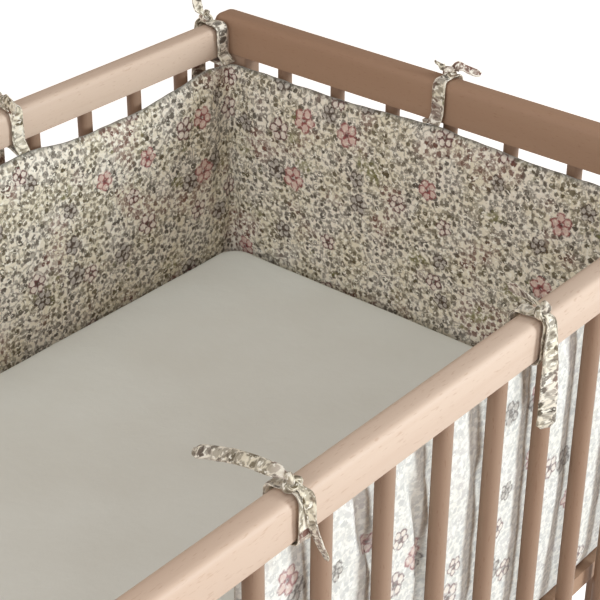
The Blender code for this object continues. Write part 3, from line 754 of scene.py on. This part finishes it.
def knot_tape(place, size, seed):
    """A small overhand knot: one turn of tape over and under itself."""
    t = np.linspace(0, 2 * math.pi, 72)
    path = np.stack([
        size * (np.sin(t) + 2 * np.sin(2 * t)) / 3,
        size * (np.cos(t) - 2 * np.cos(2 * t)) / 3,
        -size * 0.42 * np.sin(3 * t),
    ], 1)
    tilt = np.array(Matrix.Rotation(0.5 + seed, 3, "X") @ Matrix.Rotation(seed * 1.7, 3, "Z"))
    path = path @ tilt.T + np.array(place)
    return tape(path, np.full(len(path), 0.0062), np.full(len(path), 20.0), seed, tuple(tilt[:, 2]), 0.0016)


def strip_beside(place):
    """Distance along the strip to where it is this far from the head end's inner face."""
    past_turn = place - BUMPER_INSET - BUMPER_TURN
    if past_turn >= 0:
        return HEAD_STRAIGHT + TURN_ARC + past_turn
    return HEAD_STRAIGHT + BUMPER_TURN * math.acos(-past_turn / BUMPER_TURN)


def top_seam_place(row):
    """Where the tie is sewn to the bumper, out from its rail's middle and up from its top."""
    seam = through(TOP_SEAM, "drop")
    if row.rail == "head":
        return HEAD_FACE - BUMPER_INSET - END_LINE, RAIL_TOP - float(seam(abs(row.place))) - END_RAIL_TOP
    station = strip_beside(row.place)
    middle, _ = strip_frame(np.array(station))
    return float(middle[1]) - SIDE_LINE, -float(seam(station))


def make_tie(row, material, seed):
    """One tie: the tape over its rail, its knot and its two free ends."""
    seam_out, seam_up = top_seam_place(row)
    seam_up += STITCH_LAP
    if row.rail == "head":
        thick, tall, shift = END_THICK, END_RAIL_TALL, -HEAD_TIE_SHIFT
        place, turn = (END_LINE, row.place, END_RAIL_TOP), -math.pi / 2
    else:
        side = 1 if row.rail == "far" else -1
        thick, tall, shift = SIDE_RAIL_THICK, SIDE_RAIL_TALL, 0.0
        place, turn = (HEAD_FACE - row.place, side * SIDE_LINE, RAIL_TOP), 0.0 if side > 0 else math.pi
    knot = np.array([0.0, row.knot_out, KNOT_UP])
    pieces = []
    path, at = even_path(loop_path(thick, tall, seam_out, seam_up, shift), PATH_STEP)
    near_knot = np.exp(-(np.linalg.norm(path - knot, axis=1) / 0.012) ** 2)
    width = row.width * (1 - 0.35 * near_knot) * (1 + 0.05 * ripple(at, 0 * at, 0.02, seed + 9, 5))
    twist = 5 * ripple(at, 0 * at, 0.06, seed + 4, 5)
    pieces.append(tape(path, width, twist, seed))
    for i, tail in enumerate(row.tails):
        fine, at = even_path(smooth_path(tail, 10), PATH_STEP)
        tip = np.clip((at[-1] - at) / 0.003, 0.55, 1)
        root = np.clip(at / 0.012, 0.55, 1)
        pieces.append(tape(fine[:, :3], fine[:, 4] * tip * root, fine[:, 3], seed + 20 * (i + 1)))
    pieces.append(knot_tape(knot, KNOT_SIZE, seed))
    name = row.name + "_tape"
    parts = []
    for i, (points, uvs) in enumerate(pieces):
        parts.append(grid_object(f"{name}_{i}", points, uvs, material))
    item = joined(name, parts)
    item.location = place
    item.rotation_euler = (0, 0, turn)
    bpy.context.view_layer.update()
    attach(item, "root")
    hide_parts(row.name)
    return item


def joined(name, parts):
    """The first of the objects, with the others joined into it."""
    with bpy.context.temp_override(active_object=parts[0], selected_editable_objects=parts):
        bpy.ops.object.join()
    parts[0].name = name
    return parts[0]


# ---------------------------------------------------------------- the mattress
MATTRESS_CORNER = 0.030
MATTRESS_EDGE = 0.015
MATTRESS_UNDER_EDGE = 0.010
MATTRESS_CROWN = 0.003


def rounded_outline(half_x, half_y, radius):
    """Points round a rectangle with rounded corners, its sides split evenly."""
    points = []
    corners = ((1, -1, 60), (1, 1, 110), (-1, 1, 60), (-1, -1, 110))
    for quarter, (side_x, side_y, run_steps) in enumerate(corners):
        middle = np.array([side_x * (half_x - radius), side_y * (half_y - radius)])
        for step in range(7):
            angle = math.radians(-90 + 90 * quarter + 15 * step)
            points.append(middle + radius * np.array([math.cos(angle), math.sin(angle)]))
        onward = corners[(quarter + 1) % 4]
        next_middle = np.array([onward[0] * (half_x - radius), onward[1] * (half_y - radius)])
        end = next_middle + (points[-1] - middle)
        for step in range(1, run_steps):
            points.append(points[-1] + (end - points[-1]) / (run_steps - step + 1))
    return np.array(points)


def make_mattress(material):
    """The mattress in its fitted sheet: crowned, with soft edges and shallow wrinkles."""
    low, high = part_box("mattress")
    middle = (low + high) / 2
    half = (high - low) / 2
    tall = half.z * 2
    points = []
    for inset, z in mattress_profile(half.y, tall):
        radius = max(MATTRESS_CORNER - inset * 0.6, 0.003)
        ring = rounded_outline(half.x - inset, half.y - inset, min(radius, half.y - inset))
        points.append(np.concatenate([ring, np.full((len(ring), 1), z)], 1))
    points = np.array(points)
    x, y, z = points[..., 0], points[..., 1], points[..., 2]
    inside = np.clip(1 - (x / half.x) ** 2, 0, 1) ** 0.5 * np.clip(1 - (y / half.y) ** 2, 0, 1) ** 0.5
    upper = z > tall - 0.0005
    soft = 0.0012 * ripple(x, y, 0.28, 71, 12) + 0.0005 * ripple(x, y, 0.09, 72, 12)
    z = z + np.where(upper, MATTRESS_CROWN * inside + soft * np.clip(inside * 3, 0, 1), 0)
    sides = ~upper & (z > 0.004)
    shrink = np.where(sides, 0.0008 + 0.0008 * ripple(x + y, z * 2, 0.10, 73, 10), 0)
    x = x * (1 - shrink / half.x)
    y = y * (1 - shrink / half.y)
    placed = np.stack([x + middle.x, y + middle.y, z + low.z], -1)
    uv = np.stack([x + 0.3 * z, y + 0.7 * z], -1)
    uv = np.concatenate([uv, uv[:, :1]], 1)
    item = grid_object("mattress_sheet", placed, uv, material, caps=False)
    close_ends(item.data)
    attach(item, "root")
    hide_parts("mattress")
    return item


def mattress_profile(half_width, tall):
    """Insets and heights from the middle of the underside to the middle of the top."""
    under, edge = MATTRESS_UNDER_EDGE, MATTRESS_EDGE
    rows = [(half_width * (1 - share), 0.0) for share in np.linspace(0.02, 1 - under / half_width, 10)]
    for step in range(1, 6):
        angle = step * math.pi / 10
        rows.append((under * (1 - math.sin(angle)), under * (1 - math.cos(angle))))
    rows += [(0.0, z) for z in np.linspace(under, tall - edge, 14)[1:]]
    for step in range(1, 9):
        angle = step * math.pi / 16
        rows.append((edge * (1 - math.cos(angle)), tall - edge + edge * math.sin(angle)))
    rows += [(inset, tall) for inset in np.linspace(edge, half_width * 0.985, 40)[1:]]
    return rows


def close_ends(mesh):
    """Fills the two small openings left in the middle of the mattress's top and underside."""
    bm = bmesh.new()
    bm.from_mesh(mesh)
    open_edges = [edge for edge in bm.edges if edge.is_boundary]
    bmesh.ops.holes_fill(bm, edges=open_edges, sides=0)
    bmesh.ops.triangulate(bm, faces=[f for f in bm.faces if len(f.verts) > 4])
    bmesh.ops.recalc_face_normals(bm, faces=bm.faces)
    bm.to_mesh(mesh)
    bm.free()
    mesh.shade_smooth()


# ---------------------------------------------------------------- the crib's wood
def finish_wood():
    """Gives every carried-over wooden node its grain, and rounds its shading. The side rails keep the lit
    colour; the end rails, mattress base and bars get darker copies with painted shade.
    """
    # the beech in its lit colour, for the side rails
    pale = beech_material("beech_side_rails", 0)
    # painted shade: a darker, redder copy of the beech for the end rails and mattress base
    deep = beech_material("beech_end_rails_painted_shade", 1, (0.61, 0.50, 0.42))
    # painted shade: a darker copy of the beech for the bars
    bar_beech_painted_shade = beech_material("beech_bars_painted_shade", 2, (0.50, 0.42, 0.36))
    for name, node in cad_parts.items():
        if name.startswith(("tie_", "bumper")) or name == "mattress":
            continue
        if name.endswith("rail"):
            # side rails get the lit copy; end rails, base and bars the copies with painted shade
            grained = pale if name.startswith(("far", "near")) else deep
        else:
            grained = deep if name == "mattress_base" else bar_beech_painted_shade
        node.data.materials.clear()
        node.data.materials.append(grained)
        node.data.shade_smooth()
        weld = node.modifiers.new("weld", "WELD")
        weld.merge_threshold = 0.00001
        split = node.modifiers.new("crisp edges", "EDGE_SPLIT")
        split.split_angle = math.radians(38)


# ---------------------------------------------------------------- the studio
CAMERA_PLACE = Vector((-0.6866, -0.8918, 1.5335))
CAMERA_HEADING = 39.70        # degrees round from +X
CAMERA_DOWN = 30.35           # degrees below level
CAMERA_ROLL = 0.361
CAMERA_LENS = 99.16           # millimetres, on the sensor's width
CAMERA_SENSOR = 36.0


def make_camera():
    """The view that the crib is shown from."""
    data = bpy.data.cameras.new("photo_view")
    data.lens = CAMERA_LENS
    data.sensor_width = CAMERA_SENSOR
    data.clip_end = 50.0
    item = bpy.data.objects.new("photo_view", data)
    bpy.context.scene.collection.objects.link(item)
    item.matrix_world = (
        Matrix.Translation(CAMERA_PLACE)
        @ Matrix.Rotation(math.radians(CAMERA_HEADING - 90), 4, "Z")
        @ Matrix.Rotation(math.radians(90 - CAMERA_DOWN), 4, "X")
        @ Matrix.Rotation(math.radians(CAMERA_ROLL), 4, "Z")
    )
    bpy.context.scene.camera = item


def area_light(name, heading, rise, distance, size, power, tint, aim=(0.1, 0.0, 0.75)):
    """A square soft light, placed about a point by its heading from +X and its elevation."""
    data = bpy.data.lights.new(name, "AREA")
    data.shape = "SQUARE"
    data.size = size
    data.energy = power
    data.color = tint
    item = bpy.data.objects.new(name, data)
    bpy.context.scene.collection.objects.link(item)
    h, r = math.radians(heading), math.radians(rise)
    away = Vector((math.cos(r) * math.cos(h), math.cos(r) * math.sin(h), math.sin(r)))
    item.location = Vector(aim) + distance * away
    item.rotation_euler = away.to_track_quat("Z", "Y").to_euler()


def make_studio():
    """A white floor that lights nothing, warm light all round, and soft lamps."""
    mesh = bpy.data.meshes.new("floor")
    reach = 30.0
    corners = [(reach * side_x, reach * side_y, 0) for side_x, side_y in ((-1, -1), (1, -1), (1, 1), (-1, 1))]
    mesh.from_pydata(corners, [], [(0, 1, 2, 3)])
    material, g, shader = new_material("pale_floor")
    g.feed(shader.inputs["Base Color"], colour(250, 250, 249))
    shader.inputs["Roughness"].default_value = 0.9
    shader.inputs["Emission Color"].default_value = (1.0, 1.0, 1.0, 1.0)
    shader.inputs["Emission Strength"].default_value = 0.65
    mesh.materials.append(material)
    floor = bpy.data.objects.new("floor", mesh)
    bpy.context.scene.collection.objects.link(floor)
    floor.visible_diffuse = False

    world = bpy.data.worlds.new("studio")
    world.use_nodes = True
    background = world.node_tree.nodes["Background"]
    background.inputs["Color"].default_value = (1.0, 0.80, 0.66, 1.0)
    background.inputs["Strength"].default_value = 0.40
    bpy.context.scene.world = world
    area_light("window", 296, 14, 3.5, 0.90, 88, (0.86, 0.95, 1.0))
    area_light("room", 184, 22, 3.2, 1.6, 36, (0.90, 0.95, 1.0))
    area_light("door", 246, 20, 3.2, 1.6, 12, (0.90, 0.95, 1.0))
    area_light("low_fill", 252, 2, 3.2, 0.5, 19, (0.90, 0.95, 1.0))
    area_light("overhead", 200, 80, 2.6, 2.2, 18, (0.78, 0.92, 1.0))
    bpy.context.scene.view_settings.view_transform = "Standard"


# ---------------------------------------------------------------- the whole
make_camera()
make_studio()
finish_wood()
make_bumper(print_material("printed_cotton", True))
speckled = print_material("printed_tape", False)
for number, tie_row in enumerate(TIES):
    make_tie(tie_row, speckled, number + 2)
make_mattress(sheet_material())
